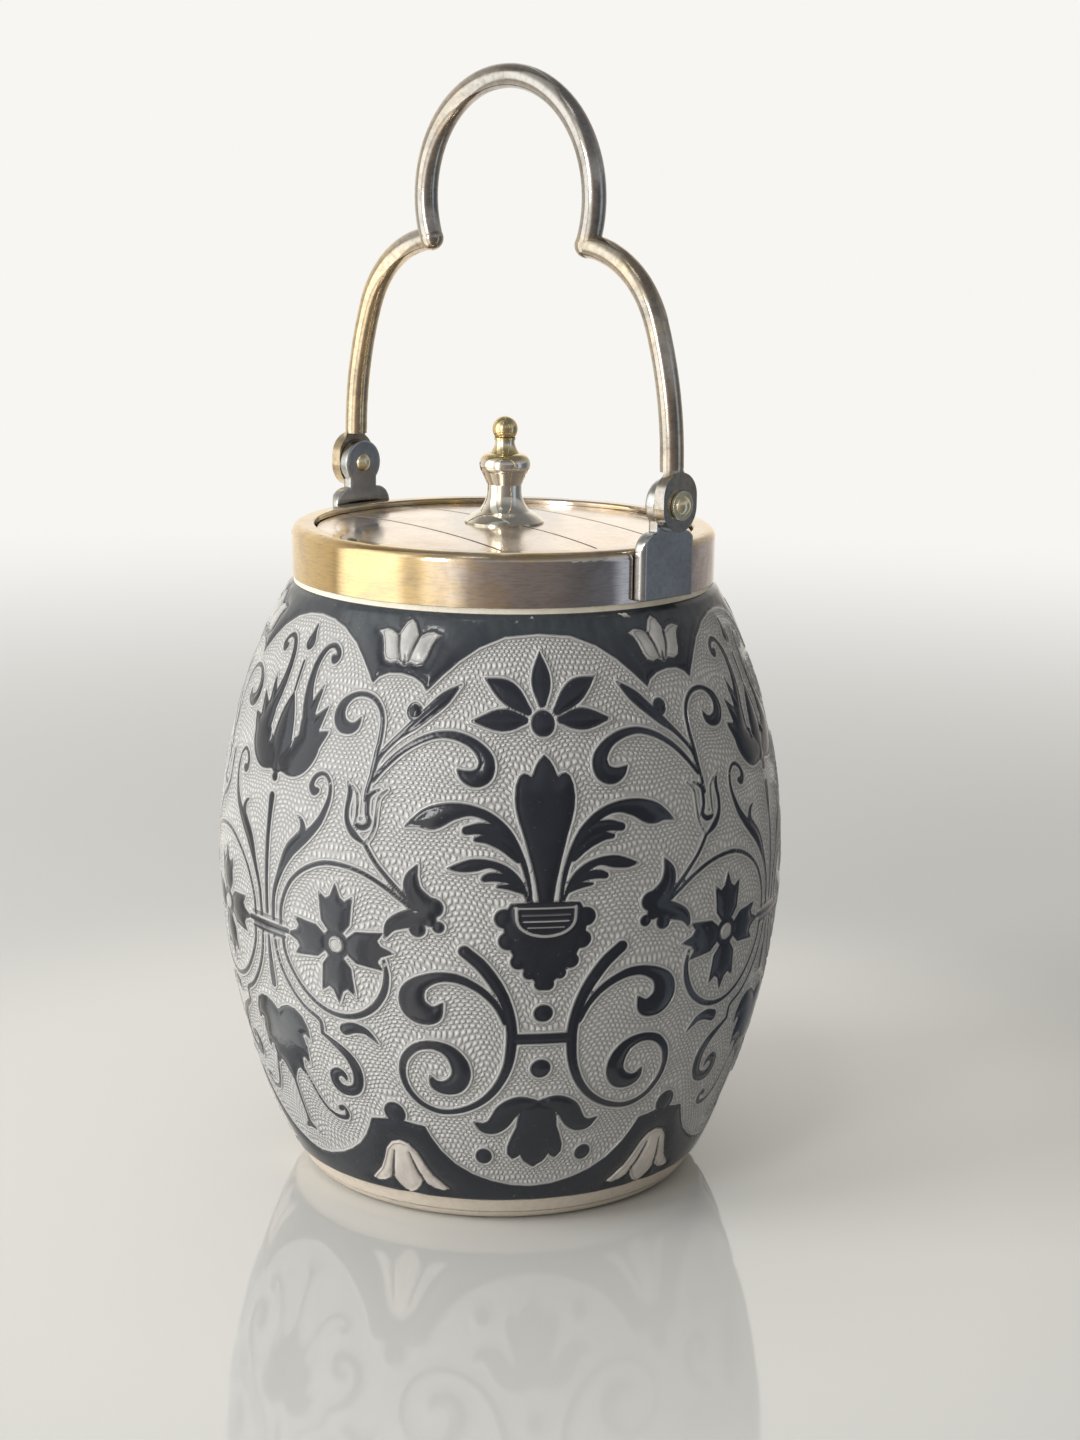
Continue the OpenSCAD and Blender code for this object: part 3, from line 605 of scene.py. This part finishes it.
def ring_uv(radius, height):
    """Texture places in the faces' order, once round and once along the section, and the section's length."""
    rows, columns = radius.shape
    middle = np.stack([radius.mean(axis=1), height.mean(axis=1)], axis=-1)
    steps = np.linalg.norm(np.diff(middle, axis=0), axis=1)
    along = np.concatenate([[0], np.cumsum(steps)]) + middle[0, 0]
    length = along[-1] + middle[-1, 0]
    v = along / length
    u = np.linspace(0, 1, columns + 1)
    corner_u, corner_v = np.meshgrid(u, v)
    corner = np.stack([corner_u, corner_v], axis=-1)
    quads = np.stack([corner[:-1, :-1], corner[:-1, 1:], corner[1:, 1:], corner[1:, :-1]], axis=2)
    half = (u[1:] + u[:-1]) / 2
    first = np.stack([np.stack([half, 0 * half], axis=-1), corner[0, 1:], corner[0, :-1]], axis=1)
    last = np.stack([np.stack([half, 0 * half + 1], axis=-1), corner[-1, :-1], corner[-1, 1:]], axis=1)
    return np.vstack([part.reshape(-1, 2) for part in (quads, first, last)]), length


def jar_mesh():
    """The whole jar as one closed mesh that keeps the ornament on its points, and its section's length."""
    (radius, height, angles), found = jar_rings()
    turn = np.radians(angles + FIRST_PANEL_ANGLE)
    rings = np.stack([radius * np.cos(turn), radius * np.sin(turn), height], axis=-1)
    middles = [(0, 0, BASE_RECESS), (0, 0, BASE_RECESS + FLOOR_T)]
    verts = np.vstack([rings.reshape(-1, 3), middles]) * MM
    quads, fans = ring_faces(*radius.shape)
    uv, length = ring_uv(radius, height)
    sizes = np.concatenate([np.full(len(quads), 4), np.full(len(fans), 3)])
    corners = np.concatenate([quads.ravel(), fans.ravel()])

    mesh = bpy.data.meshes.new("jar_relief")
    mesh.vertices.add(len(verts))
    mesh.vertices.foreach_set("co", verts.ravel())
    mesh.loops.add(len(corners))
    mesh.loops.foreach_set("vertex_index", corners)
    mesh.polygons.add(len(sizes))
    mesh.polygons.foreach_set("loop_start", np.cumsum(sizes) - sizes)
    mesh.update(calc_edges=True)
    mesh.uv_layers.new(name="OFBake").data.foreach_set("uv", uv.ravel())
    for kind, part in zip(KINDS, found):
        store = mesh.attributes.new(kind, "FLOAT", "POINT")
        store.data.foreach_set("value", np.append(part.ravel(), [Field.PLAIN] * len(middles)))
    mesh.polygons.foreach_set("use_smooth", np.ones(len(sizes), bool))
    mesh.set_sharp_from_angle(angle=math.radians(60))
    mesh.validate()
    return mesh, length


class Shader:
    """A material's node tree, built by short calls that take numbers, colours or sockets."""

    def __init__(self, name):
        self.material = bpy.data.materials.new(name)
        self.material.use_nodes = True
        self.tree = self.material.node_tree
        self.surface = self.tree.nodes["Principled BSDF"]
        self.place = self.node("ShaderNodeTexCoord").outputs["Object"]
        self.x, self.y, self.z = self.node("ShaderNodeSeparateXYZ", {0: self.place}).outputs

    def put(self, socket, value):
        if isinstance(value, bpy.types.NodeSocket):
            self.tree.links.new(value, socket)
        elif isinstance(value, tuple) and len(value) == 3 and socket.type == "RGBA":
            socket.default_value = (*value, 1)
        else:
            socket.default_value = value

    def node(self, kind, inputs=None, **settings):
        node = self.tree.nodes.new(kind)
        for key, value in settings.items():
            setattr(node, key, value)
        for key, value in (inputs or {}).items():
            self.put(node.inputs[key], value)
        return node

    def math(self, operation, a, b=0.0, c=0.0):
        return self.node("ShaderNodeMath", {0: a, 1: b, 2: c}, operation=operation).outputs[0]

    def vector(self, operation, a, b=(0, 0, 0), out="Vector"):
        return self.node("ShaderNodeVectorMath", {0: a, 1: b}, operation=operation).outputs[out]

    def ramp(self, value, low, high, start=0.0, end=1.0):
        inputs = {"Value": value, "From Min": low, "From Max": high, "To Min": start, "To Max": end}
        return self.node("ShaderNodeMapRange", inputs, interpolation_type="SMOOTHSTEP").outputs[0]

    def between(self, value, low, high, soft):
        """1 from low to high, with soft ends."""
        rise = self.ramp(value, low - soft, low + soft)
        fall = self.ramp(value, high + soft, high - soft)
        return self.math("MULTIPLY", rise, fall)

    def mix(self, share, a, b):
        node = self.node("ShaderNodeMix", data_type="RGBA")
        colours = [s for s in node.inputs if s.type == "RGBA"]
        self.put(node.inputs[0], share)
        self.put(colours[0], a)
        self.put(colours[1], b)
        return next(s for s in node.outputs if s.type == "RGBA")

    def noise(self, scale, detail=3.0, rough=0.55, stretch=(1, 1, 1), warp=0.0):
        place = self.vector("MULTIPLY", self.place, stretch)
        inputs = {"Vector": place, "Scale": scale, "Detail": detail, "Roughness": rough, "Distortion": warp}
        return self.node("ShaderNodeTexNoise", inputs).outputs["Fac"]

    def attribute(self, name):
        return self.node("ShaderNodeAttribute", attribute_name=name).outputs["Fac"]

    def bump(self, height, distance, normal=None):
        node = self.node("ShaderNodeBump", {"Height": height, "Distance": distance, "Strength": 1.0})
        if normal is not None:
            self.put(node.inputs["Normal"], normal)
        return node.outputs[0]

    def set(self, **values):
        for key, value in values.items():
            self.put(self.surface.inputs[key.replace("_", " ")], value)
        return self.material


def rgb(red, green, blue):
    """Colour written in screen values from 0 to 255, as linear light."""
    def linear(v):
        v /= 255
        return v / 12.92 if v <= 0.04045 else ((v + 0.055) / 1.055) ** 2.4
    return tuple(linear(v) for v in (red, green, blue))


def beads(s, dark, section):
    """Round beads in brick order, in rows that waver and bend along the outlines."""
    uv = s.node("ShaderNodeUVMap", uv_map="OFBake").outputs[0]
    u, v, _ = s.node("ShaderNodeSeparateXYZ", {0: uv}).outputs
    waver = s.math("MULTIPLY_ADD", s.noise(60, 1), BEAD_WAVER, s.math("MULTIPLY", v, section / BEAD_ROW))
    bend = s.math("EXPONENT", s.math("MULTIPLY", dark, -1 / BEAD_BEND))
    row = s.math("MULTIPLY_ADD", bend, 2.0, waver)
    count = round(2 * math.pi * BELLY_R / BEAD_PITCH)
    stray = s.math("MULTIPLY_ADD", s.noise(130, 1), 1.5, s.math("MULTIPLY", s.math("FLOOR", row), 0.5))
    column = s.math("MULTIPLY_ADD", u, count, stray)
    across = s.math("SINE", s.math("MULTIPLY", s.math("FRACT", row), math.pi))
    along = s.math("SINE", s.math("MULTIPLY", s.math("FRACT", column), math.pi))
    return s.ramp(s.math("MULTIPLY", across, along), 0.0, 1.0)


def dark_glaze(s):
    """Blue-black glaze, brushed downwards near the shoulder and painted lighter there as painted light from
    above.
    """
    navy = s.mix(s.noise(60, 4), rgb(28, 30, 36), rgb(44, 47, 55))
    # Brush streaks in a lighter blue-grey. Mixing more of them in towards the shoulder is painted light from
    # above.
    streaks_and_top_light = s.mix(s.noise(420, 4, stretch=(1, 1, 0.12)), rgb(40, 46, 56), rgb(88, 92, 92))
    low, high = GLAZE_STREAKED_AND_LIT
    navy = s.mix(s.ramp(s.z, low * MM, high * MM, 0, 0.6), navy, streaks_and_top_light)
    specks = s.ramp(s.noise(900, 2), 0.68, 0.78, 0, 0.25)
    return s.mix(specks, navy, rgb(120, 124, 130))


def ground_colour(s, bead, ridge):
    """Grey ground whose bead crowns are painted lighter and the gaps between them darker, as painted
    highlight and painted shade, and the pale ridges round the dark shapes.
    """
    tone = s.noise(28, 4)
    # Painted shade in the gaps between beads and painted highlight on their crowns.
    shaded_hollow = s.mix(tone, rgb(148, 148, 147), rgb(166, 164, 161))
    lit_crown = s.mix(tone, rgb(188, 188, 187), rgb(210, 208, 204))
    pale = s.mix(s.noise(300, 3), rgb(158, 158, 158), rgb(188, 187, 185))
    return s.mix(ridge, s.mix(bead, shaded_hollow, lit_crown), pale)


def flower_colour(s, groove):
    """Flowers in the corners: cream ones at the foot and silvery ones above, dark between their petals."""
    cream = s.mix(s.noise(420, 4, stretch=(1, 1, 0.3)), rgb(160, 152, 146), rgb(220, 212, 202))
    silver = s.mix(s.noise(240, 4), rgb(132, 132, 132), rgb(196, 194, 190))
    low, high = CREAM_TO_SILVER
    petal = s.mix(s.ramp(s.z, low * MM, high * MM), cream, silver)
    return s.mix(groove, petal, rgb(74, 72, 72))


def chips(s):
    """Where the glaze is chipped, close under the collar."""
    low, high = CHIPPED
    return s.math("MULTIPLY", s.ramp(s.noise(190, 3), 0.66, 0.69), s.ramp(s.z, low * MM, high * MM))


def stoneware(section):
    """Salt-glazed jar: a beaded grey ground, dark blue shapes edged by pale ridges, and a bare foot."""
    s = Shader("stoneware")
    dark, lines, flowers, grooves = [s.attribute(kind) for kind in KINDS]
    edge = s.math("ADD", dark, s.math("MULTIPLY_ADD", s.noise(420, 2), 0.16, -0.08))
    glazed = s.math("MULTIPLY", s.ramp(edge, -0.12, 0.12, 1, 0), s.ramp(lines, -0.12, 0.12))
    ridge = s.between(dark, 0.1, RIDGE_W, 0.15)
    flower = s.ramp(flowers, 0.1, -0.15)
    ornamented = s.between(dark, RIDGE_W + 0.15, 1.25 * Field.REACH, 0.15)
    ground = s.math("MULTIPLY", ornamented, s.math("SUBTRACT", 1.0, flower))
    bead = s.math("MULTIPLY", beads(s, dark, section), ground)
    groove = s.math("MULTIPLY", s.ramp(grooves, 0.35, -0.1), flower)
    body = s.mix(flower, ground_colour(s, bead, ridge), flower_colour(s, groove))
    body = s.mix(glazed, body, dark_glaze(s))
    body = s.mix(chips(s), body, rgb(222, 216, 204))
    clay = s.mix(s.noise(700, 4), rgb(188, 176, 160), rgb(218, 207, 192))
    line_z = s.math("MULTIPLY_ADD", s.noise(60, 2), 0.9 * MM, (GLAZE_LINE - 0.45) * MM)
    over_foot = s.ramp(s.math("SUBTRACT", s.z, line_z), -0.12 * MM, 0.12 * MM)
    body = s.mix(over_foot, clay, body)
    # Relief too fine for the mesh
    fine = s.math("MULTIPLY_ADD", bead, BEAD_H, s.math("MULTIPLY", s.noise(1500, 3), 0.03))
    fine = s.math("MULTIPLY_ADD", ridge, 0.3, fine)
    normal = s.bump(s.math("MULTIPLY_ADD", s.noise(170, 2), 0.1, fine), MM)
    shine = s.ramp(s.noise(120, 3), 0.3, 0.7, 0.06, 0.13)
    bare = s.math("SUBTRACT", 1.0, over_foot)
    rough = s.math("MULTIPLY_ADD", bare, 0.8, s.math("MULTIPLY", over_foot, shine))
    return s.set(Base_Color=body, Roughness=rough, Normal=normal, Specular_IOR_Level=0.45)


def worn_plate(name, silver, worn, tarnish, wear, corner_shade_depth, rough, brush=(1, 1, 1), rubbed=None,
               edge_wear=EDGE_WEAR):
    """Worn silver plate: base metal where it is rubbed through, clouds of tarnish, and painted shade in
    corners and hollows.
    """
    s = Shader(name)
    plate = s.math("ADD", s.noise(35, 5, 0.6, warp=0.6), s.math("MULTIPLY", s.noise(240, 3), 0.25))
    if rubbed:
        plate = s.math("MULTIPLY_ADD", rubbed(s), -0.5, plate)
    rub = s.ramp(plate, wear - 0.22, wear + 0.22, 1, 0)
    cloud = s.ramp(s.noise(60, 6, 0.65, warp=0.8), 0.45, 0.8, 0, 0.7)
    # Painted shade: ambient occlusion darkens corners and hollows towards dark brown, and roughens them.
    shaded_hollow = s.node("ShaderNodeAmbientOcclusion", {"Distance": 2.5 * MM}, samples=8).outputs["AO"]
    corner_shade = s.ramp(shaded_hollow, 0.72, 0.3, 0, corner_shade_depth)
    colour = s.mix(rub, silver, worn)
    colour = s.mix(cloud, colour, tarnish)
    scratch = s.noise(900, 2, stretch=brush)
    colour = s.mix(s.ramp(scratch, 0.4, 0.75, 0, 0.35), colour, tarnish)
    # Painted shade in corners and hollows.
    colour = s.mix(corner_shade, colour, rgb(34, 30, 27))
    finish = s.math("ADD", s.ramp(s.noise(110, 4), 0.3, 0.7, rough * 0.7, rough * 1.4),
                    s.math("MULTIPLY_ADD", scratch, 0.04, -0.02))
    finish = s.math("MAXIMUM", s.math("MULTIPLY_ADD", corner_shade, 0.3, finish), 0.04)
    dents = s.math("MULTIPLY", s.noise(80, 2), 0.04)
    worn_edge = None
    if edge_wear:
        worn_edge = s.node("ShaderNodeBevel", {"Radius": edge_wear * MM}, samples=8).outputs[0]
    normal = s.bump(dents, MM, worn_edge)
    return s.set(Base_Color=colour, Metallic=1.0, Roughness=finish, Normal=normal)


def plaster():
    """Chalky bedding between the collar and the jar."""
    s = Shader("bedding")
    colour = s.mix(s.noise(300, 4), rgb(206, 196, 176), rgb(238, 232, 216))
    return s.set(Base_Color=colour, Roughness=0.8, Normal=s.bump(s.noise(800, 3), 0.2 * MM))


def collar_rub(s):
    """The side of the collar where the plate has gone, and its top edge."""
    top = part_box("collar")[1][2]
    edge = s.ramp(s.z, top - 2.4 * MM, top - 1.2 * MM, 0, 0.7)
    angle = CAMERA_AZIMUTH - math.radians(90) + math.radians(COLLAR_BRASS_SIDE)
    side = (math.cos(angle), math.sin(angle), 0)
    out = s.vector("NORMALIZE", s.vector("MULTIPLY", s.place, (1, 1, 0)))
    facing = s.vector("DOT_PRODUCT", out, side, out="Value")
    return s.math("MAXIMUM", s.ramp(facing, 0.1, 0.95), edge)


def finial_rub(s):
    """The ball and the top of the bulb, where fingers hold the finial."""
    low, high = [corner[2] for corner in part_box("finial")]
    tall = high - low
    bulb = s.between(s.z, low + 0.6 * tall, low + 0.72 * tall, 0.03 * tall)
    return s.math("MAXIMUM", bulb, s.ramp(s.z, high - 0.26 * tall, high - 0.2 * tall))


def bail_rub(s):
    """Both arms below the waist, and the left one most."""
    low, high = [corner[2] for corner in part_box("bail_handle")]
    lower = s.ramp(s.z, low + 0.66 * (high - low), low + 0.54 * (high - low))
    return s.math("MULTIPLY", lower, s.ramp(s.x, 0.02, -0.02, 0.25, 0.8))


def paint(material, *nodes):
    """Gives nodes of the CAD model one material."""
    for name in nodes:
        mesh = frame["nodes"][name].data
        mesh.materials.clear()
        mesh.materials.append(material)


# Pieces
jar_data, section_length = jar_mesh()
jar = bpy.data.objects.new("jar_relief", jar_data)
bpy.context.scene.collection.objects.link(jar)
jar.data.materials.append(stoneware(section_length))
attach(jar, "jar_body")
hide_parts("jar")

paint(plaster(), "bedding_ring")
paint(worn_plate("collar_plate", rgb(214, 206, 202), rgb(226, 198, 146), rgb(160, 146, 134),
                 wear=0.36, corner_shade_depth=0.7, rough=0.1, brush=(0.4, 0.4, 3), rubbed=collar_rub), "collar")
paint(worn_plate("lid_silver", rgb(244, 230, 214), rgb(234, 212, 182), rgb(218, 198, 182),
                 wear=0.44, corner_shade_depth=0.9, rough=0.18), "lid_plate", "lid_flange")
paint(worn_plate("finial_silver", rgb(240, 236, 226), rgb(228, 210, 160), rgb(212, 203, 186),
                 wear=0.4, corner_shade_depth=0.8, rough=0.07, rubbed=finial_rub, edge_wear=0), "finial")
paint(worn_plate("bail_plate", rgb(182, 178, 174), rgb(224, 204, 170), rgb(122, 114, 106),
                 wear=0.42, corner_shade_depth=0.6, rough=0.13, rubbed=bail_rub, edge_wear=0), "bail_handle")
paint(worn_plate("lug_plate", rgb(204, 205, 205), rgb(206, 190, 160), rgb(158, 159, 160),
                 wear=0.4, corner_shade_depth=0.6, rough=0.15, edge_wear=LUG_EDGE_WEAR), "lug_left", "lug_right")
paint(worn_plate("rivet_brass", rgb(250, 240, 208), rgb(252, 244, 216), rgb(206, 188, 146),
                 wear=0.5, corner_shade_depth=0.5, rough=0.2), "rivet_left", "rivet_right", "washer_left", "washer_right")
paint(worn_plate("fastener_brass", rgb(196, 164, 96), rgb(214, 184, 116), rgb(112, 88, 52),
                 wear=0.5, corner_shade_depth=0.8, rough=0.28), "finial_stud", "finial_washer", "finial_nut")


def from_camera(azimuth, distance, height):
    """Point at an angle from the camera's side, to its right where that is above zero."""
    return Matrix.Rotation(CAMERA_AZIMUTH + math.radians(azimuth), 3, "Z") @ Vector((0, -distance, height))


def photo_camera():
    """The photograph's camera."""
    data = bpy.data.cameras.new("camera")
    data.lens = FOCAL_PX / IMAGE_HEIGHT_PX * data.sensor_width
    data.clip_start = 0.01
    camera = bpy.data.objects.new("camera", data)
    turn = (Matrix.Rotation(CAMERA_AZIMUTH + CAMERA_YAW, 3, "Z") @ Matrix.Rotation(CAMERA_PITCH, 3, "X")
            @ Matrix.Rotation(CAMERA_ROLL, 3, "Y") @ Matrix.Rotation(math.pi / 2, 3, "X"))
    place = from_camera(0, CAMERA_DISTANCE, CAMERA_HEIGHT)
    camera.matrix_world = Matrix.Translation(place) @ turn.to_4x4()
    bpy.context.scene.collection.objects.link(camera)
    bpy.context.scene.camera = camera


def lamp(name, azimuth, height, width, length, watts, mirrored):
    """Soft lamp that stands at an angle from the camera's side and faces the jar."""
    data = bpy.data.lights.new(name, "AREA")
    data.shape = "RECTANGLE"
    data.size = width
    data.size_y = length
    data.energy = watts
    piece = bpy.data.objects.new(name, data)
    place = from_camera(azimuth, LAMP_FAR, height)
    aim = Vector((0, 0, BELLY_Z * MM)) - place
    piece.matrix_world = Matrix.Translation(place) @ aim.to_track_quat("-Z", "Y").to_matrix().to_4x4()
    piece.visible_glossy = mirrored
    bpy.context.scene.collection.objects.link(piece)


def stage_piece(name, verts, faces, material):
    """Piece of the studio, which is no part of the object."""
    mesh = bpy.data.meshes.new(name)
    mesh.from_pydata(verts, [], faces)
    mesh.materials.append(material)
    piece = bpy.data.objects.new(name, mesh)
    bpy.context.scene.collection.objects.link(piece)
    return piece


def seen(tree):
    """1 for the rays that show the background: from the camera, or by way of metal or glass."""
    path = tree.nodes.new("ShaderNodeLightPath")
    total = path.outputs["Is Camera Ray"]
    for kind in ("Is Glossy Ray", "Is Transmission Ray"):
        add = tree.nodes.new("ShaderNodeMath")
        add.operation = "MAXIMUM"
        tree.links.new(total, add.inputs[0])
        tree.links.new(path.outputs[kind], add.inputs[1])
        total = add.outputs[0]
    return total


def floor():
    """Pale table top, glossy near the jar, that runs out into the pale background."""
    s = Shader("floor")
    top = rgb(202, 201, 197)
    s.set(Base_Color=top, Roughness=0.05, Specular_IOR_Level=1.0)
    matt = s.node("ShaderNodeBsdfDiffuse", {"Color": top}).outputs[0]
    far = s.vector("LENGTH", s.place, out="Value")
    gloss = s.ramp(far, *FLOOR_MIRROR)
    table = s.node("ShaderNodeMixShader", {0: gloss, 1: matt, 2: s.surface.outputs[0]}).outputs[0]
    share = s.math("MULTIPLY", s.ramp(far, *FLOOR_FADE), seen(s.tree))
    glow = s.node("ShaderNodeEmission", {"Color": BACKGROUND, "Strength": 1.0}).outputs[0]
    both = s.node("ShaderNodeMixShader", {0: share, 1: table, 2: glow}).outputs[0]
    s.put(s.tree.nodes["Material Output"].inputs["Surface"], both)
    h = FLOOR_HALF
    stage_piece("floor", [(-h, -h, 0), (h, -h, 0), (h, h, 0), (-h, h, 0)], [(0, 1, 2, 3)], s.material)


def screen():
    """Screen round the jar that only reflections see, from its inside, lit like the photograph's room."""
    s = Shader("screen")
    light = s.node("ShaderNodeAttribute", attribute_name="glow").outputs["Color"]
    glow = s.node("ShaderNodeEmission", {"Color": light, "Strength": 1.0}).outputs[0]
    outside = s.node("ShaderNodeNewGeometry").outputs["Backfacing"]
    clear = s.node("ShaderNodeBsdfTransparent").outputs[0]
    both = s.node("ShaderNodeMixShader", {0: outside, 1: glow, 2: clear}).outputs[0]
    s.put(s.tree.nodes["Material Output"].inputs["Surface"], both)
    stops, *channels = zip(*SCREEN_GLOW)
    azimuth = np.arange(stops[0], stops[-1] + 1, 2)
    verts = [from_camera(a, far, up) for far, up, *_ in SCREEN_SECTION for a in azimuth]
    n = len(azimuth)
    starts = [row * n + i for row in range(len(SCREEN_SECTION) - 1) for i in range(n - 1)]
    faces = [(i, n + i, n + i + 1, i + 1) for i in starts]
    piece = stage_piece("screen", verts, faces, s.material)
    colours = np.stack([np.interp(azimuth, stops, channel) for channel in channels] + [np.ones(n)], axis=-1)
    store = piece.data.attributes.new("glow", "FLOAT_COLOR", "POINT")
    rows = [np.maximum(colours * share, least) for *_, share, least in SCREEN_SECTION]
    store.data.foreach_set("color", np.vstack(rows).ravel())
    piece.visible_camera = False
    piece.visible_diffuse = False
    piece.visible_transmission = False
    piece.visible_shadow = False


def world():
    """Pale surroundings whose light is stronger from the window side and weaker from behind the camera."""
    w = bpy.data.worlds.new("studio")
    w.use_nodes = True
    nodes, links = w.node_tree.nodes, w.node_tree.links
    bright = Matrix.Rotation(CAMERA_AZIMUTH, 3, "Z") @ Vector(BRIGHT_WAY).normalized()
    dot = nodes.new("ShaderNodeVectorMath")
    dot.operation = "DOT_PRODUCT"
    dot.inputs[1].default_value = bright
    links.new(nodes.new("ShaderNodeTexCoord").outputs["Generated"], dot.inputs[0])
    ramp = nodes.new("ShaderNodeMapRange")
    ramp.interpolation_type = "SMOOTHSTEP"
    weakest, strongest = SURROUNDINGS
    for key, value in (("From Min", -0.9), ("From Max", 0.8), ("To Min", weakest), ("To Max", strongest)):
        ramp.inputs[key].default_value = value
    links.new(dot.outputs["Value"], ramp.inputs["Value"])
    strength = nodes.new("ShaderNodeMix")
    links.new(seen(w.node_tree), strength.inputs[0])
    links.new(ramp.outputs[0], strength.inputs[2])
    strength.inputs[3].default_value = 1
    links.new(strength.outputs[0], nodes["Background"].inputs["Strength"])
    nodes["Background"].inputs["Color"].default_value = (*BACKGROUND, 1)
    bpy.context.scene.world = w


photo_camera()
floor()
screen()
world()
for row in LAMPS:
    lamp(*row)
bpy.context.scene.view_settings.view_transform = "Standard"
